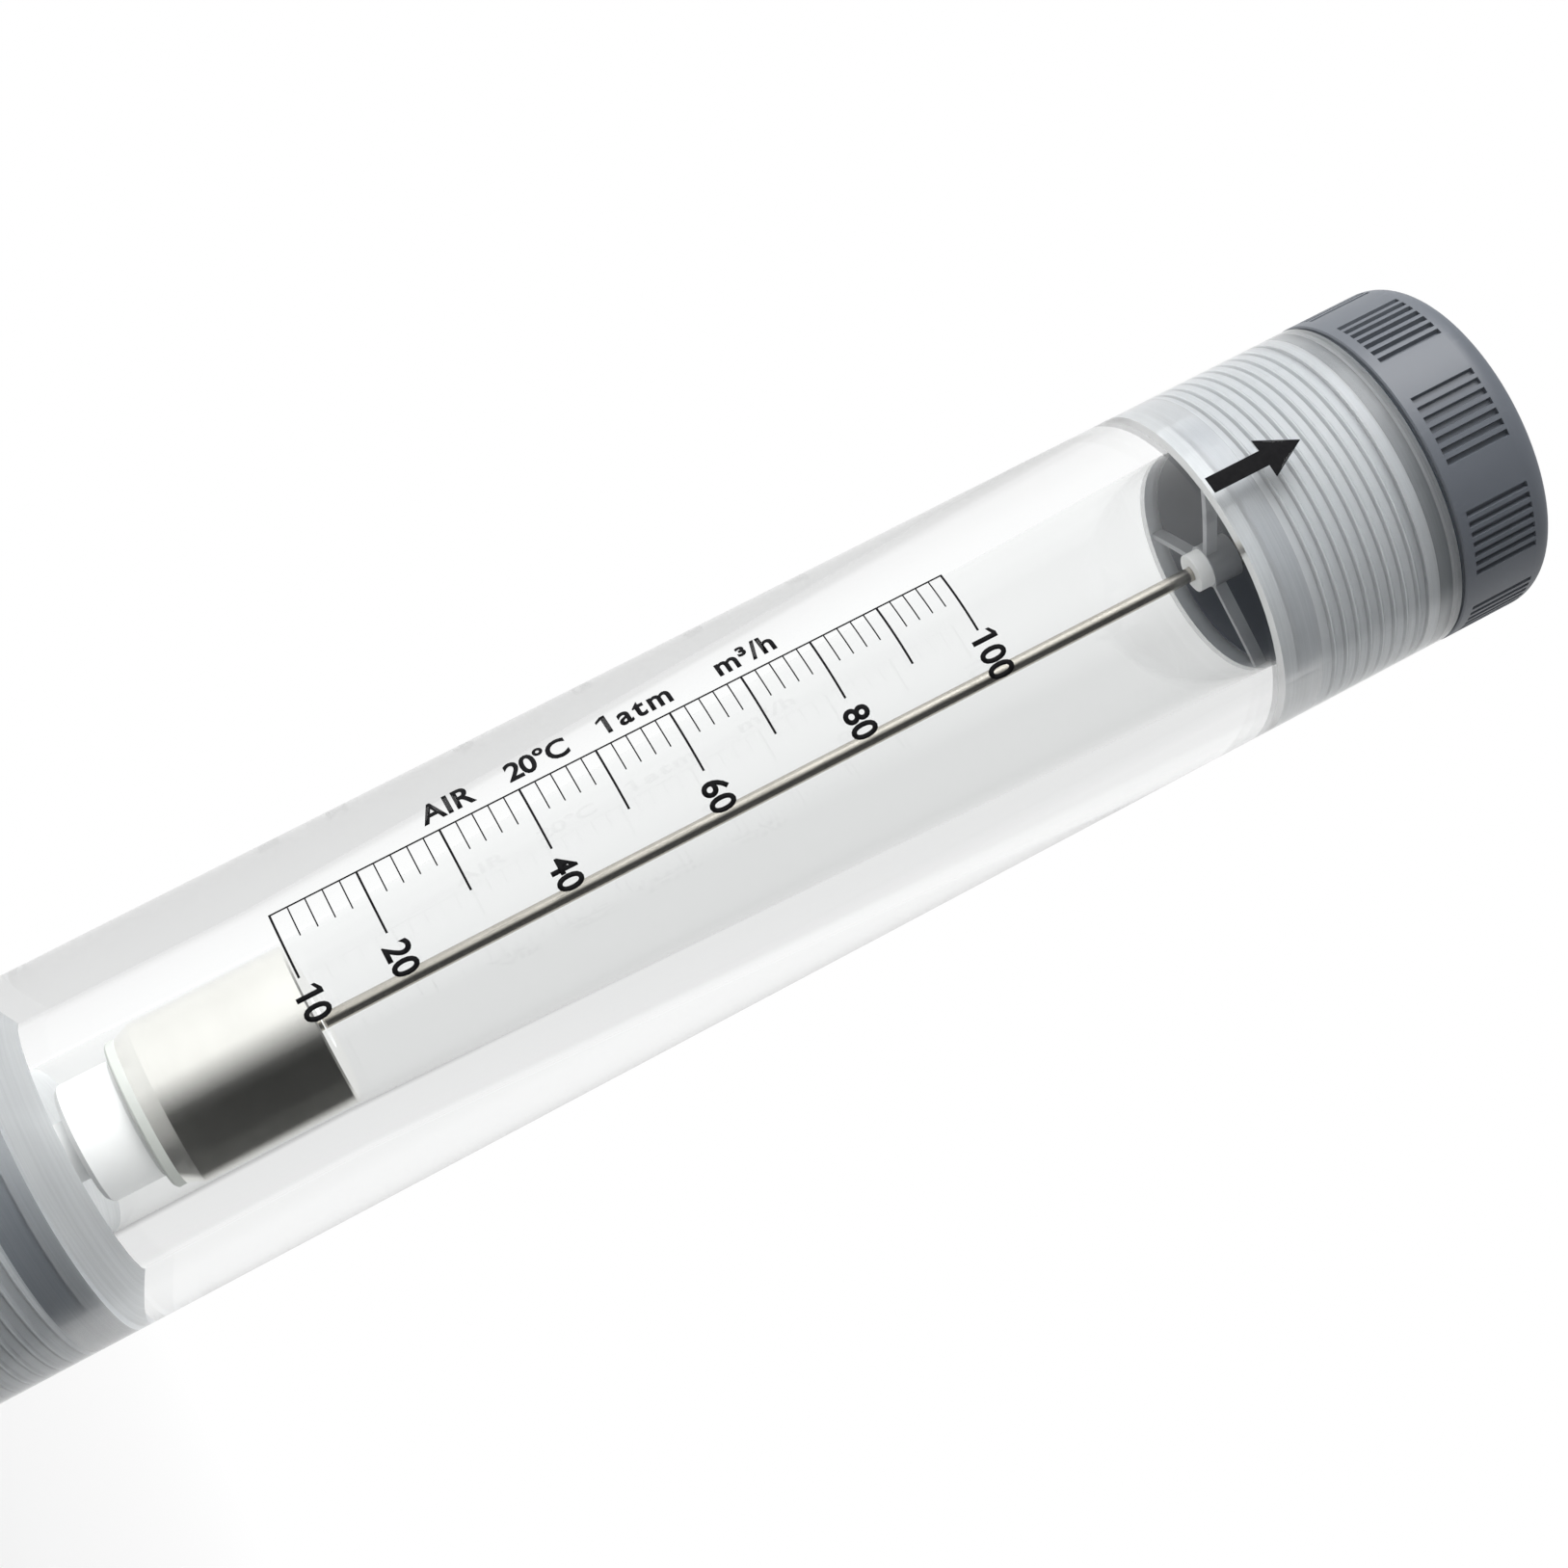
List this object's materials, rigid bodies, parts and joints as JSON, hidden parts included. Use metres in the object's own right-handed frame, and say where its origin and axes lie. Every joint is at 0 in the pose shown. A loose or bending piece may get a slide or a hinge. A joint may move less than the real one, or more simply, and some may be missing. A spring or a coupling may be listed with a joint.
{
  "type": "rotameter",
  "caption": "Upright pipe-mounted flow meter: clear tapered tube with a metal float on a guide rod, spiders at both ends and screwed end fittings with grip grooves.",
  "frame": {"origin": "centre of the lower end fitting's outer end face, which the meter stands on", "axes": "+Z along the tube's axis in the flow direction, from the lower to the upper end; the scale faces -Y"},
  "size_m": [0.0702, 0.0702, 0.3704],
  "materials": {
    "clear_tube": "clear, polished",
    "grey_fitting": "moulded satin, dark slate grey",
    "seal_rubber": "matte",
    "spider_plastic": "translucent natural",
    "rod_steel": "ground, bright",
    "white_plastic": "turned, satin",
    "float_metal": "fine turned, bright"
  },
  "bodies": {
    "meter": {"metering_tube": "clear_tube", "lower_end_fitting": "grey_fitting", "upper_end_fitting": "grey_fitting", "lower_o_ring": "seal_rubber", "upper_o_ring": "seal_rubber", "lower_spider": "spider_plastic", "upper_spider": "spider_plastic", "guide_rod": "rod_steel", "lower_rod_washer": "rod_steel", "upper_rod_washer": "rod_steel", "lower_rod_nut": "rod_steel", "upper_rod_nut": "rod_steel", "lower_stop": "white_plastic", "upper_stop": "white_plastic"},
    "float": {"float_body": "float_metal", "float_foot": "white_plastic", "upper_float_bush": "white_plastic", "lower_float_bush": "white_plastic"}
  },
  "joints": [
    {"name": "float_slide", "type": "slide", "parent": "meter", "child": "float", "axis": [0, 0, 1], "range_m": [0, 0.1895]}
  ]
}
